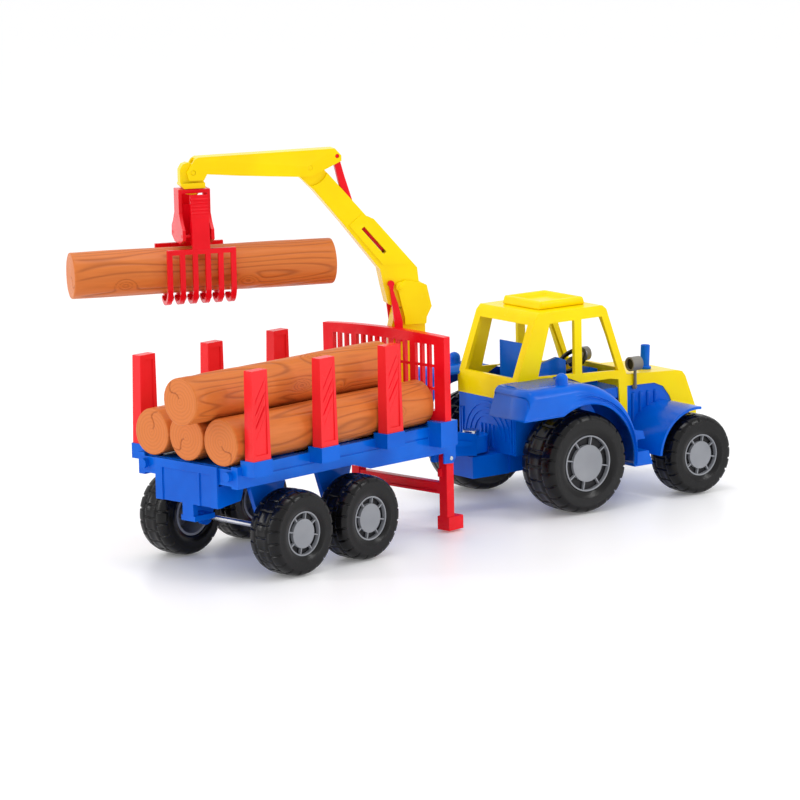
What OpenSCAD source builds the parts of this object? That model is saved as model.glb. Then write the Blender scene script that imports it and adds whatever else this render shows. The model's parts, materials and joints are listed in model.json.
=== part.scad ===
// Toy tractor with an articulated timber trailer, a loading crane and five logs.
// Millimetres, +Z up.  The origin is on the floor under the middle of the whole model.
// +X runs from the trailer to the tractor, +Y is to the left of the direction of travel.

/* [Wheels] */
// outer radius of the trailer wheels and the tractor front wheels
small_r = 39; // [33:1:44]
// width of the small tyres
small_w = 36; // [28:1:38]
// outer radius of the tractor rear wheels
big_r = 49; // [42:1:52]
// width of the big tyres
big_w = 48; // [38:1:50]
// radius of the steel axles
axle_r = 2.5; // [2:0.1:3.5]
// running clearance between an axle or pin and its bore
run = 0.1; // [0.05:0.01:0.1]

/* [Trailer] */
// distance from the hitch pin back to the front trailer axle
axle_front = 232; // [222:1:240]
// distance between the two trailer axles
axle_gap = 86; // [82:1:100]
// height of the deck the logs lie on
deck_z = 103; // [96:1:110]
// half width between the inner faces of the stakes
load_half = 67; // [67:0.5:74]
// height of a stake above its pocket
stake_h = 81; // [50:1:90]
// spacing of the stakes along the bed
stake_gap = 85.5; // [70:1:88]
// height of the front grille above the bed front
board_h = 79; // [50:1:82]
// outer face of the trailer hubs, from the centre line
trailer_track = 88; // [86:1:96]

/* [Logs] */
// log radius
log_r = 22; // [18:0.2:22.2]
// log length
log_len = 256; // [180:1:262]

/* [Tractor] */
// heading of the tractor against the trailer, in degrees
heading = -10; // [-20:1:20]
// distance from the hitch pin to the rear axle
rear_axle = 65; // [62:1:70]
// distance between the tractor axles
wheelbase = 141; // [138:1:150]
// half width of the cab
cab_half = 46; // [40:1:47]
// height of the cab roof
roof_z = 189; // [176:1:210]
// half width of the hood
hood_half = 37; // [32:1:39]

/* [Crane] */
// distance from the hitch pin back to the slewing axis
slew_x = 98; // [94:0.5:99]
// direction the crane points, in degrees from +X
slew_az = 149; // [90:1:180]
// height of the boom pivot
boom_z = 229; // [215:1:245]
// reach of the jib from its pivot to the grapple
jib_reach = 111; // [100:1:120]

/* [Hidden] */
$fn = 48;
pin_r = 2.2;
gap = 0.4;
bed_front = -105;
stake_x = -axle_front - axle_gap + 318 - 369;
bed_rear = stake_x - 7;
bed_half = 64;
pocket_top = deck_z + 7.5;
beam_bot = deck_z - 18;
stake_a = 21.5;
stake_b = 11.3;
axle_1 = -axle_front - axle_gap;
axle_2 = -axle_front;
front_axle = rear_axle + wheelbase;
small_rim = small_r * 0.52;
big_rim = big_r * 0.55;
rear_track = 98;
front_track = 98;
hub_in = 2;
board_x = -120;
leg_y = 57;
leg_x = bed_front + 8;
leg_top = beam_bot - 14;
pivot_u = 0.6;
lift_u = 9.4;
lift_z = boom_z + 3.3;
jib_u = 84;
jib_z = boom_z + 116;
tip_u = jib_u + jib_reach;
tip_z = jib_z - 2;
grip_top = tip_z - 11.6 - gap;
claw_n = 19;
claw_u = tip_u - 1.5;
claw_z = tip_z - 54;
claw_pin_r = 1.6;
log_u = tip_u - 6;
hold_z = tip_z - 87;
top_log_back = 27;
body_half = cab_half - 2;
body_top = 106;
board_t = 8;
turn_r = -board_x - board_t - slew_x - gap;
cheek_z = pocket_top + board_h + 3.4;
stem_drop = 22;
stem_r = 2;
stem_tilt = -38;
wheel_x = 126;
wheel_z = 128;

// the hitch pin axis stands at (home_x, home_y), so that the origin is under the middle
rear_end = board_x - 1 - log_len - top_log_back;
front_end = front_axle * cos(heading) - front_track * sin(heading) + small_r - 0.7;
far_side = (log_u + log_len / 2 - 5) * sin(slew_az) - (log_r - 1.2) * cos(slew_az);
near_side = front_axle * sin(heading) - (front_track + 2) * cos(heading) + small_r * 0.7 * sin(heading);
home_x = -(rear_end + front_end) / 2;
home_y = -(far_side + near_side) / 2;

blue = [0.02, 0.33, 0.86];
yellow = [1.0, 0.84, 0.02];
red = [0.9, 0.1, 0.14];
black = [0.09, 0.09, 0.1];
grey = [0.6, 0.61, 0.64];
steel = [0.75, 0.77, 0.8];
wood = [0.82, 0.45, 0.2];

// ---------------------------------------------------------------- placing helpers

// a flat outline drawn as (x, z), made into a slab centred on y = 0
module slab(width) {
    rotate([90, 0, 0])
        linear_extrude(height = width, center = true)
            children();
}

// a flat outline drawn as (x, z), made into a slab from y0 to y1
module slab_at(y0, y1) {
    translate([0, (y0 + y1) / 2, 0])
        slab(y1 - y0)
            children();
}

// a block given by its two opposite corners
module block(a, b) {
    translate(a)
        cube([b[0] - a[0], b[1] - a[1], b[2] - a[2]]);
}

// a round bar along y, between y0 and y1
module bar_y(x, z, r, y0, y1) {
    translate([x, y1, z])
        rotate([90, 0, 0])
            cylinder(r = r, h = y1 - y0);
}

// both sides of the centre line
module both() {
    children();
    mirror([0, 1, 0])
        children();
}

// the trailer's frame: x measured from the hitch pin
module trailer() {
    translate([home_x, home_y, 0])
        children();
}

// the tractor's own frame, turned about the hitch pin
module tractor() {
    translate([home_x, home_y, 0])
        rotate([0, 0, heading])
            children();
}

// the crane's own frame: x is the reach, y the side facing the load's near end
module crane() {
    translate([home_x - slew_x, home_y, 0])
        rotate([0, 0, slew_az])
            children();
}

// ---------------------------------------------------------------- wheels

// tyre standing on y = 0 as its outer face and reaching inwards along +y
module tyre(r, w, rim, lugs) {
    rotate([-90, 0, 0])
        difference() {
            union() {
                rotate_extrude($fn = 72)
                    polygon([[rim, 1.6], [rim + 2.5, 0.2], [r * 0.7, 0], [r - 7, 0.9], [r - 3.4, 4.2],
                        [r - 2.4, w * 0.3], [r - 2.2, w / 2 - 1.4], [r - 3.8, w / 2 - 1],
                        [r - 3.8, w / 2 + 1], [r - 2.2, w / 2 + 1.4], [r - 2.4, w * 0.7],
                        [r - 3.4, w - 4.2], [r - 7, w - 0.9], [r * 0.7, w], [rim + 2.5, w - 0.2],
                        [rim, w - 1.6]]);
                intersection() {
                    for (i = [0 : lugs - 1])
                        for (side = [0, 1])
                            rotate([0, 0, (i + side * 0.5) * 360 / lugs])
                                translate([r - 6, -r * 3.14 / lugs * 0.66, side == 0 ? 2.4 : w / 2 + 2])
                                    cube([8, r * 3.14 / lugs * 1.32, w / 2 - 4.4]);
                    cylinder(r = r, h = w, $fn = 72);
                }
            }
            translate([0, 0, -1])
                cylinder(r = rim, h = w + 2, $fn = 72);
        }
}

// hub with a flat centre disc, thin spokes and a thin rim ring, outer face at y = 0
module hub(rim, w) {
    rotate([-90, 0, 0]) {
        difference() {
            cylinder(r = rim, h = w - 4, $fn = 72);
            translate([0, 0, -1])
                cylinder(r = rim - 1.3, h = 5, $fn = 72);
            translate([0, 0, 8])
                cylinder(r = rim - 2.2, h = w);
        }
        translate([0, 0, 0.6])
            cylinder(r = rim * 0.66, h = 5);
        for (i = [0 : 7])
            rotate([0, 0, i * 45 + 12])
                translate([rim * 0.5, -0.6, 1])
                    cube([rim * 0.5 - 0.5, 1.2, 4]);
        difference() {
            translate([0, 0, 4])
                cylinder(r = axle_r + 3.5, h = w - 8);
            translate([0, 0, 3])
                cylinder(r = axle_r, h = w);
        }
    }
}

// the two hubs of one axle
module hub_pair(x, r, w, rim, track) {
    both()
        translate([x, -track, r])
            difference() {
                hub(rim, w);
                translate([0, 3.4, 0])
                    rotate([-90, 0, 0])
                        cylinder(r = axle_r, h = w);
            }
}

module tyre_pair(x, r, w, rim, track, lugs) {
    both()
        translate([x, -track - hub_in, r])
            tyre(r, w, rim, lugs);
}

module steel_axle(x, z, track) {
    bar_y(x, z, axle_r, -track + 3.4, track - 3.4);
}

module axle_t1() {
    color(steel)
        trailer()
            steel_axle(axle_1, small_r, trailer_track);
}

module hubs_t1() {
    color(grey)
        trailer()
            hub_pair(axle_1, small_r, small_w, small_rim, trailer_track);
}

module tyres_t1() {
    color(black)
        trailer()
            tyre_pair(axle_1, small_r, small_w, small_rim, trailer_track, 16);
}

module axle_t2() {
    color(steel)
        trailer()
            steel_axle(axle_2, small_r, trailer_track);
}

module hubs_t2() {
    color(grey)
        trailer()
            hub_pair(axle_2, small_r, small_w, small_rim, trailer_track);
}

module tyres_t2() {
    color(black)
        trailer()
            tyre_pair(axle_2, small_r, small_w, small_rim, trailer_track, 16);
}

module axle_r() {
    color(steel)
        tractor()
            steel_axle(rear_axle, big_r, rear_track);
}

module hubs_r() {
    color(grey)
        tractor()
            hub_pair(rear_axle, big_r, big_w, big_rim, rear_track);
}

module tyres_r() {
    color(black)
        tractor()
            tyre_pair(rear_axle, big_r, big_w, big_rim, rear_track, 18);
}

module axle_f() {
    color(steel)
        tractor()
            steel_axle(front_axle, small_r, front_track);
}

module hubs_f() {
    color(grey)
        tractor()
            hub_pair(front_axle, small_r, small_w, small_rim, front_track);
}

module tyres_f() {
    color(black)
        tractor()
            tyre_pair(front_axle, small_r, small_w, small_rim, front_track, 16);
}

// ---------------------------------------------------------------- trailer bed

// triangular axle hanger, one each side
module hanger(x) {
    both()
        difference() {
            slab_at(38, 43) {
                polygon([[x - 24, beam_bot - 1], [x + 24, beam_bot - 1], [x + 8, small_r],
                    [x - 8, small_r]]);
                translate([x, small_r])
                    circle(r = 8);
            }
            bar_y(x, small_r, axle_r + run, 30, 50);
        }
}

// the axle hangers and the plate that ties them together under the bed
module hangers() {
    color(blue)
        trailer() {
            hanger(axle_1);
            hanger(axle_2);
            block([axle_1 - 24, -43, beam_bot - 1], [axle_2 + 24, 43, beam_bot]);
        }
}

module bed() {
    lug_y = leg_y - 5 - gap;
    color(blue)
        trailer()
            difference() {
                union() {
                    // side beams, deeper towards the front
                    both()
                        slab_at(bed_half - 8, bed_half)
                            polygon([[bed_rear, beam_bot], [axle_2 + 4, beam_bot], [axle_2 + 26, beam_bot - 7],
                                [bed_front, beam_bot - 8], [bed_front, deck_z + 2], [bed_rear, deck_z + 2]]);
                    // cross beams under the stakes and at the rear end
                    for (i = [0 : 2])
                        block([stake_x + i * stake_gap - 3, -bed_half + 1, deck_z - 12],
                            [stake_x + i * stake_gap + stake_a + 3, bed_half - 1, deck_z]);
                    block([bed_rear, -bed_half + 1, beam_bot + 2], [bed_rear + 8, bed_half - 1, deck_z - 1]);
                    // closed floor ahead of the rear axle
                    block([axle_2 + 20, -bed_half + 2, deck_z - 5], [bed_front - 1, bed_half - 2, deck_z - 0.5]);
                    // centre spine
                    block([bed_rear + 1, -16, beam_bot], [bed_front, 16, deck_z - 2]);
                    // stake pockets
                    for (i = [0 : 2])
                        both()
                            block([stake_x + i * stake_gap - 1, bed_half - 2, deck_z - 6.5],
                                [stake_x + i * stake_gap + stake_a + 1, load_half + stake_b + 1, pocket_top]);
                    // front corner boxes that carry the grille
                    both()
                        block([bed_front - 22, bed_half - 2, deck_z - 16],
                            [bed_front + 0.5, load_half + stake_b + 1, pocket_top]);
                    // raised front bolster
                    block([board_x, -bed_half + 3, deck_z - 9], [bed_front, bed_half - 3, pocket_top - 2]);
                    // round pegs on the rear beam
                    both()
                        translate([bed_rear - 5, 54, deck_z - 7])
                            rotate([0, 90, 0])
                                cylinder(r = 4.5, h = 8);
                    // lugs that carry the pin of the legs
                    for (y = [lug_y - 5, leg_y + 5 + gap])
                        both()
                            slab_at(y, y == lug_y - 5 ? lug_y : bed_half)
                                polygon([[bed_front - 2, beam_bot + 8], [bed_front - 2, leg_top - 4],
                                    [leg_x + 2, leg_top - 5], [leg_x + 6, leg_top], [leg_x + 6, beam_bot + 2],
                                    [leg_x + 2, beam_bot + 8]]);
                }
                // openings through the deck between the spine and the side beams
                for (i = [0 : 1])
                    both()
                        block([stake_x + i * stake_gap + stake_a + 8, 17, beam_bot - 3],
                            [stake_x + (i + 1) * stake_gap - 8, bed_half - 10, deck_z + 5]);
                // sockets for the stakes
                for (i = [0 : 2])
                    both()
                        block([stake_x + i * stake_gap + 2, load_half + 2, deck_z - 3],
                            [stake_x + i * stake_gap + stake_a - 2, load_half + stake_b - 2, pocket_top + 1]);
                // shallow lines along the side beams
                both()
                    block([bed_rear + 30, bed_half - 0.8, deck_z - 8.4],
                        [bed_front - 24, bed_half + 0.5, deck_z - 7]);
                // holes for the leg pin
                both()
                    bar_y(leg_x, leg_top, pin_r, 40, 70);
            }
}

// box-like rear bumper under the deck, with a towing hook plate below
module bumper() {
    color(blue)
        trailer()
            difference() {
                union() {
                    block([bed_rear - 1, -40, deck_z - 38], [bed_rear + 5, 40, deck_z]);
                    both()
                        slab_at(34, 40)
                            polygon([[bed_rear, deck_z - 38], [bed_rear + 27, deck_z - 35],
                                [bed_rear + 33, deck_z - 18], [bed_rear, deck_z - 18]]);
                    // corner posts and a middle post
                    for (y = [-40, -17, 31])
                        block([bed_rear - 2.4, y, deck_z - 38], [bed_rear, y + (y == -17 ? 3 : 9), deck_z - 3]);
                    block([bed_rear - 2.4, -40, deck_z - 8], [bed_rear, 40, deck_z]);
                    // hook plate
                    block([bed_rear - 1, -7, deck_z - 52], [bed_rear + 5, 7, deck_z - 37]);
                    block([bed_rear - 1, -9, deck_z - 54], [bed_rear + 24, 9, deck_z - 49]);
                }
                // bore of the towing eye
                translate([bed_rear + 14, 0, deck_z - 60])
                    cylinder(r = 3.5, h = 20);
                // keeps clear of the deck above
                block([bed_rear, -62, deck_z - 16], [bed_rear + 60, 62, deck_z + 1]);
                block([bed_rear, -62, beam_bot], [bed_rear + 60, 62, deck_z + 1]);
            }
}

// beam from the bed down to the hitch, with the eye round the tractor's pin
module neck() {
    color(blue)
        trailer()
            difference() {
                union() {
                    slab(44)
                        polygon([[bed_front, beam_bot], [bed_front, pocket_top - 2],
                            [turn_r - slew_x + 1, pocket_top - 2], [bed_front + 44, beam_bot + 2],
                            [-16, beam_bot - 8], [-16, 56], [bed_front + 46, 62],
                            [bed_front + 12, beam_bot - 8]]);
                    translate([0, 0, 56])
                        cylinder(r = 16, h = 16);
                    block([-18, -16, 56], [0, 16, 72]);
                    both()
                        slab_at(22, 24)
                            polygon([[bed_front, beam_bot + 3], [bed_front + 12, beam_bot + 3],
                                [bed_front + 42, beam_bot - 6], [-24, beam_bot - 14], [-24, beam_bot - 18],
                                [bed_front + 40, beam_bot - 14], [bed_front + 10, beam_bot - 4],
                                [bed_front, beam_bot - 4]]);
                }
                translate([0, 0, 50])
                    cylinder(r = 5 + run, h = 40);
            }
}

// grille behind the crane: tall bars in three groups and two thin rails
module headboard() {
    w = load_half + stake_b;
    n_side = 3;
    n_mid = 8;
    top_r = 1180;
    color(red)
        trailer() {
            difference() {
                union() {
                    block([board_x, -w, pocket_top], [board_x + board_t, w, pocket_top + board_h]);
                    block([board_x, -bed_half + 9, pocket_top - 2],
                        [board_x + board_t, bed_half - 9, pocket_top + 1]);
                    // slightly arched top
                    translate([board_x, 0, pocket_top + board_h + 2.6 - top_r])
                        intersection() {
                            rotate([0, 90, 0])
                                cylinder(r = top_r, h = board_t, $fn = 720);
                            block([-1, -w, top_r - 30], [board_t + 1, w, top_r + 2]);
                        }
                }
                // slots between the bars
                for (i = [0 : n_side - 1])
                    both()
                        block([board_x - 1, w - 13 - i * 9 - 6, pocket_top + 9],
                            [board_x + board_t + 1, w - 13 - i * 9, pocket_top + board_h - 8]);
                for (i = [0 : n_mid - 1])
                    block([board_x - 1, -34.5 + i * 9, pocket_top + 9],
                        [board_x + board_t + 1, -34.5 + i * 9 + 6, pocket_top + board_h - 7]);
                // hollow front of the frame between the bars
                block([board_x + 4, -w + 10, pocket_top + 9],
                    [board_x + board_t + 1, w - 10, pocket_top + board_h - 8]);
            }
            // two thin rails across the bars
            for (z = [0.36, 0.63])
                block([board_x + 0.5, -w + 6, pocket_top + board_h * z],
                    [board_x + 2.5, w - 6, pocket_top + board_h * z + 2.4]);
        }
}

// round base the crane turns on
module crane_base() {
    color(blue)
        trailer()
            translate([-slew_x, 0, pocket_top - 2])
                difference() {
                    cylinder(r = turn_r, h = 7);
                    translate([0, 0, -1])
                        cylinder(r = 7 + run, h = 20);
                }
}

// tapered stake with a panel of slanting ribs on its outer face
module stake(x, side) {
    trailer()
        mirror([0, side > 0 ? 0 : 1, 0]) {
            translate([x, load_half, 0])
                difference() {
                    union() {
                        translate([stake_a / 2, stake_b / 2, pocket_top])
                            slab(stake_b)
                                polygon([[-stake_a / 2, 0], [stake_a / 2, 0], [stake_a / 2 - 1.2, stake_h],
                                    [-stake_a / 2 + 1.2, stake_h]]);
                        block([2.1, 2.1, deck_z - 2.9], [stake_a - 2.1, stake_b - 2.1, pocket_top + 1]);
                    }
                    // outer panel
                    block([3.6, stake_b - 1.4, pocket_top + 5],
                        [stake_a - 3.6, stake_b + 1, pocket_top + stake_h - 5]);
                    // inner panel
                    block([4.2, -1, pocket_top + 5], [stake_a - 4.2, 1.4, pocket_top + stake_h - 5]);
                    // slimmer towards the top
                    translate([-1, stake_b, pocket_top + 2])
                        rotate([1, 0, 0])
                            cube([stake_a + 2, 5, stake_h + 5]);
                }
            // three slanting ribs on the outer panel
            intersection() {
                for (k = [0 : 2])
                    translate([x + 4, load_half + stake_b - 3, pocket_top + stake_h * 0.18 + k * stake_h * 0.2])
                        rotate([0, -60, 0])
                            cube([32, 1.8, 1.6]);
                block([x + 3.6, load_half + stake_b - 3, pocket_top + 5],
                    [x + stake_a - 3.6, load_half + stake_b, pocket_top + stake_h - 5]);
            }
        }
}

module stake_l1() {
    color(red)
        stake(stake_x, 1);
}

module stake_l2() {
    color(red)
        stake(stake_x + stake_gap, 1);
}

module stake_l3() {
    color(red)
        stake(stake_x + 2 * stake_gap, 1);
}

module stake_r1() {
    color(red)
        stake(stake_x, -1);
}

module stake_r2() {
    color(red)
        stake(stake_x + stake_gap, -1);
}

module stake_r3() {
    color(red)
        stake(stake_x + 2 * stake_gap, -1);
}

// folding landing legs, hung from a pin across the bed front
module leg_frame() {
    lx = leg_x;
    color(red)
        trailer()
            difference() {
                union() {
                    both() {
                        block([lx - 5, leg_y - 5, 8], [lx + 5, leg_y + 5, leg_top]);
                        block([lx - 5, leg_y - 8, 2], [lx + 15, leg_y + 7, 15]);
                        bar_y(lx, leg_top, 5, leg_y - 5, leg_y + 5);
                        // small stop behind each leg
                        block([lx - 7, leg_y - 5, 53], [lx - 4, leg_y - 1.6, 61]);
                    }
                    block([lx - 4, -leg_y + 4, 36], [lx + 4, leg_y - 4, 47]);
                }
                bar_y(lx, leg_top, pin_r + run, -leg_y - 10, leg_y + 10);
                block([lx - 5, -leg_y + 9, 38.4], [lx - 2.6, leg_y - 9, 44.6]);
            }
}

// pins the legs fold about, each carried by two lugs of the bed front
module leg_pin() {
    color(steel)
        trailer()
            both()
                bar_y(leg_x, leg_top, pin_r, leg_y - 10 - gap, bed_half + 0.4);
}

// ---------------------------------------------------------------- logs

module log_bar(len) {
    rotate([0, 90, 0]) {
        cylinder(r = log_r, h = len - 3, $fn = 64);
        translate([0, 0, len - 3])
            cylinder(r = log_r - 1.2, h = 3, $fn = 64);
    }
}

module bed_log(y, z, back) {
    trailer()
        translate([board_x - 1 - log_len - back, y, z])
            log_bar(log_len);
}

module log_1() {
    color(wood)
        bed_log(log_r * 2 + gap, deck_z + gap + log_r, 0);
}

module log_2() {
    color(wood)
        bed_log(0, deck_z + gap + log_r, 0);
}

module log_3() {
    color(wood)
        bed_log(-log_r * 2 - gap, deck_z + gap + log_r, 0);
}

module log_4() {
    lift = (log_r * 2 + gap) * cos(30) + 0.1;
    color(wood)
        bed_log(-log_r - gap / 2, deck_z + gap + log_r + lift, top_log_back);
}

module log_held() {
    color(wood)
        crane()
            translate([log_u - log_len / 2 + 3, 0, hold_z])
                log_bar(log_len - 8);
}

// ---------------------------------------------------------------- crane

// turning column with two cheeks that carry the boom
module column() {
    z0 = pocket_top + 5 + gap;
    web_top = boom_z - 21;
    color(yellow)
        crane()
            difference() {
                union() {
                    translate([0, 0, z0])
                        cylinder(r = turn_r, h = 8);
                    translate([0, 0, pocket_top - 1])
                        cylinder(r = 7, h = 12);
                    // post, swelling out at the back below the cheeks
                    slab(15)
                        polygon([[-10.4, z0 + 7], [10.4, z0 + 7], [9.4, boom_z - 40], [5, web_top],
                            [-24, web_top], [-24, cheek_z - 10], [-11, cheek_z - 24]]);
                    slab(17)
                        polygon([[-24, cheek_z], [-3.3, cheek_z], [-3.3, web_top], [-24, web_top]]);
                    for (y = [-12, 8.4])
                        slab_at(y, y + 3.6) {
                            polygon([[-24, cheek_z], [-3.3, cheek_z], [-3.3, boom_z - 30], [-2.4, boom_z - 26],
                                [0, boom_z - 16], [1.8, boom_z - 8], [3.2, boom_z - 2.5], [3.2, boom_z + 3],
                                [-4, boom_z + 6], [-20, boom_z + 3], [-25, boom_z + 0.5], [-29.5, boom_z - 20],
                                [-24.5, boom_z - 30]]);
                            translate([pivot_u, boom_z])
                                circle(r = 4.4);
                        }
                    both()
                        bar_y(pivot_u, boom_z, 3.6, 11, 13);
                }
                bar_y(pivot_u, boom_z, pin_r, -20, 20);
            }
}

module boom_pin() {
    color(yellow)
        crane()
            bar_y(pivot_u, boom_z, pin_r, -13.6, 13.6);
}

// kinked boom; its upper half is a channel open on top for the jib strut
module boom() {
    end_r = 19.4;
    color(yellow)
        crane()
            translate([0, 0, boom_z - 229])
                difference() {
                    union() {
                        slab(16) {
                            polygon([[-18.8, 229], [15.6, 229], [19, 246], [53, 290], [80, 323],
                                [94, 337], [94, 342], [84, 352], [76, 349], [31, 297],
                                [24, 294], [-17, 246]]);
                            intersection() {
                                translate([pivot_u, 229])
                                    circle(r = end_r);
                                polygon([[-30, 200], [9, 200], [15.7, 229.5], [-30, 229.5]]);
                            }
                        }
                        for (y = [-9, 8])
                            slab_at(y, y + 1)
                                polygon([[16, 250], [48, 289], [36, 299], [24, 292], [-8, 250]]);
                    }
                    bar_y(pivot_u, 229, pin_r + run, -20, 20);
                    // pin hole of the jib
                    bar_y(jib_u, 345, pin_r + run, -20, 20);
                    // pin hole of the lift strut
                    bar_y(lift_u, 232.3, claw_pin_r + run, -20, 20);
                    // hollow for the jib strut
                    slab(8)
                        polygon([[3, 252], [14.6, 242.6], [41, 275], [55, 308], [63, 338], [40, 338], [24, 300]]);
                    // side slots through which the jib strut shows
                    slab(30)
                        polygon([[12.6, 262.6], [15.4, 260.4], [36.4, 285.2], [33.6, 287.4]]);
                    // tongue that fits inside the jib
                    for (y = [-20, 5.4])
                        slab_at(y, y + 14.6)
                            translate([jib_u, 345])
                                circle(r = 17);
                }
}

// pair of tapered straps beside the boom's foot, hung on a pin through the boom
module lift_strut() {
    color(red)
        crane()
            translate([0, 0, boom_z]) {
                both()
                    slab_at(8.8, 11.4) {
                        polygon([[lift_u + 2.4, 3.3], [lift_u + 1, -3], [8.9, -16], [6.4, -38], [6.4, -52],
                            [-1.2, -52], [-1.2, -34], [0, -28], [3.2, -16], [lift_u - 2, -3], [lift_u - 2.6, 3.3]]);
                        translate([lift_u, 3.3])
                            circle(r = 3.1);
                    }
                bar_y(lift_u, 3.3, claw_pin_r, -9, 9);
            }
}

module jib_pin() {
    color(yellow)
        crane()
            bar_y(jib_u, jib_z, pin_r, -8.6, 8.6);
}

// straight jib, a channel open below; its tail overhangs the pivot
module jib() {
    color(yellow)
        crane()
            difference() {
                slab(17.2)
                    polygon([[54, jib_z + 10], [60, jib_z + 16.8], [tip_u - 5, jib_z + 15],
                        [tip_u - 1.4, jib_z + 13], [tip_u + 6, jib_z + 1], [tip_u + 4, jib_z - 6.4],
                        [tip_u - 10, jib_z - 6.4], [tip_u - 13, jib_z - 1], [tip_u - 45, jib_z - 4],
                        [94, jib_z - 8], [82, jib_z - 8], [69, jib_z - 2], [54, jib_z + 5]]);
                // hollow inside
                slab(11.6)
                    polygon([[40, jib_z - 20], [40, jib_z + 12], [61, jib_z + 13.8], [tip_u - 14, jib_z + 12],
                        [tip_u - 14, jib_z - 20]]);
                // fork for the tip block
                slab(11.6)
                    polygon([[tip_u - 15, jib_z - 20], [tip_u - 15, jib_z + 11], [tip_u - 3, jib_z + 11],
                        [tip_u - 3, jib_z + 30], [tip_u + 20, jib_z + 30], [tip_u + 20, jib_z - 20]]);
                bar_y(jib_u, jib_z, pin_r, -20, 20);
                bar_y(tip_u, jib_z + 1, pin_r + run, -20, 20);
                bar_y(58, jib_z + 9.6, 1.9 + run, -20, 20);
            }
}

// strut from the jib tail into the boom
module jib_strut() {
    color(red)
        crane()
            union() {
                slab(6) {
                    translate([58, jib_z + 9.6])
                        circle(r = 3.4);
                    polygon([[55, jib_z + 8.6], [61, jib_z + 8.4], [56, jib_z - 14], [49, jib_z - 38],
                        [34.6, jib_z - 60.6], [15.5, jib_z - 82.6], [12.5, jib_z - 80.4], [31.4, jib_z - 58],
                        [42, jib_z - 36], [50, jib_z - 10]]);
                }
                bar_y(58, jib_z + 9.6, 1.9, -8, 8);
            }
}

module tip_pin() {
    color(yellow)
        crane()
            bar_y(tip_u, jib_z + 1, pin_r, -8.4, 8.4);
}

// block that swings at the end of the jib and carries the grapple
module tip_block() {
    color(yellow)
        crane()
            difference() {
                union() {
                    slab(10.8)
                        polygon([[tip_u - 11, tip_z - 8.6], [tip_u - 8, tip_z + 8], [tip_u - 3.4, tip_z + 10.6],
                            [tip_u + 5, tip_z + 12.4], [tip_u + 9, tip_z + 11], [tip_u + 12, tip_z + 6],
                            [tip_u + 12, tip_z - 8.6]]);
                    slab(17.2)
                        polygon([[tip_u - 11, tip_z - 11.6], [tip_u - 11, tip_z - 6.4], [tip_u + 12, tip_z - 6.4],
                            [tip_u + 12, tip_z - 8.6], [tip_u + 9, tip_z - 11.6]]);
                    // neck and flange the grapple turns on
                    translate([tip_u, 0, grip_top - 5.4])
                        cylinder(r = 4, h = 7);
                    translate([tip_u, 0, grip_top - 5.4])
                        cylinder(r = 6, h = 1.3);
                }
                bar_y(tip_u, jib_z + 1, pin_r, -20, 20);
            }
}

// turning grapple body: two end plates joined by a top and a bridge
module grapple_body() {
    zt = grip_top;
    color(red)
        crane()
            translate([tip_u, 0, 0])
                difference() {
                    union() {
                        block([-15, -10, zt - 3.6], [15, 10, zt]);
                        for (x = [-15, 12])
                            translate([x, 0, 0])
                                rotate([90, 0, 90])
                                    linear_extrude(height = 3)
                                        polygon([[-10, zt], [10, zt], [10, zt - 22], [16, zt - 30],
                                            [claw_n + 4, claw_z + 6], [claw_n + 5, claw_z - 3],
                                            [12, claw_z - 8], [-12, claw_z - 8], [-claw_n - 5, claw_z - 3],
                                            [-claw_n - 4, claw_z + 6], [-16, zt - 30], [-10, zt - 22]]);
                        block([-13, -1.5, claw_z - 8], [13, 1.5, zt - 14.5]);
                    }
                    translate([0, 0, zt - 10])
                        cylinder(r = 4 + run, h = 20);
                    for (y = [-claw_n, claw_n])
                        translate([-20, y, claw_z])
                            rotate([0, 90, 0])
                                cylinder(r = claw_pin_r, h = 40);
                }
}

module claw_pins() {
    color(red)
        crane()
            for (y = [-claw_n, claw_n])
                translate([tip_u - 15.4, y, claw_z])
                    rotate([0, 90, 0])
                        cylinder(r = claw_pin_r, h = 30.8);
}

// one claw comb, drawn in the (y, z) plane of the crane for the near side (y > 0)
module claw(count, first) {
    bar_z = claw_z - 13.8;
    hook_y = 10;
    hook_z = hold_z - 13;
    hook_in = 14.2;
    hook_out = 18;
    pitch = 12;
    difference() {
        union() {
            // lever plate with the thumb pad
            translate([claw_u - 8.2, 0, 0])
                rotate([90, 0, 90])
                    linear_extrude(height = 16.4)
                        polygon([[claw_n - 3, claw_z - 5], [claw_n - 3, claw_z + 5], [claw_n + 1.4, claw_z + 15],
                            [claw_n + 0.6, claw_z + 38], [claw_n + 3.6, claw_z + 38], [claw_n + 5.6, claw_z + 19],
                            [claw_n + 8, claw_z + 7], [claw_n + 9, claw_z - 11.4], [claw_n + 9, claw_z - 13.8],
                            [claw_n + 5, claw_z - 13.8], [claw_n + 4, claw_z - 9]]);
            // grip ribs across the thumb pad
            for (k = [0 : 5])
                translate([claw_u - 8.2, claw_n + 5 - k * 0.26, claw_z + 18 + k * 3.2])
                    rotate([0, 90, 0])
                        cylinder(r = 1, h = 16.4);
            // comb bar
            block([claw_u - 32.4, hook_y + hook_in, bar_z - 2], [claw_u + 32.4, hook_y + hook_out, bar_z + 2.6]);
            // tines, straight beside the log and hooked under it
            for (k = [0 : count - 1])
                translate([claw_u - 32.4 + first + k * pitch, 0, hook_z])
                    rotate([90, 0, 90])
                        linear_extrude(height = 4.8) {
                            translate([hook_y, 0])
                                difference() {
                                    circle(r = hook_out);
                                    circle(r = hook_in);
                                    polygon([[0, 0], [-30, -30], [-60, -30], [-60, 60], [60, 60], [60, 0]]);
                                }
                            translate([hook_y + hook_in, -0.1])
                                square([hook_out - hook_in, bar_z - hook_z]);
                        }
        }
        translate([tip_u - 40, claw_n, claw_z])
            rotate([0, 90, 0])
                cylinder(r = claw_pin_r + run, h = 80);
    }
}

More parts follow.
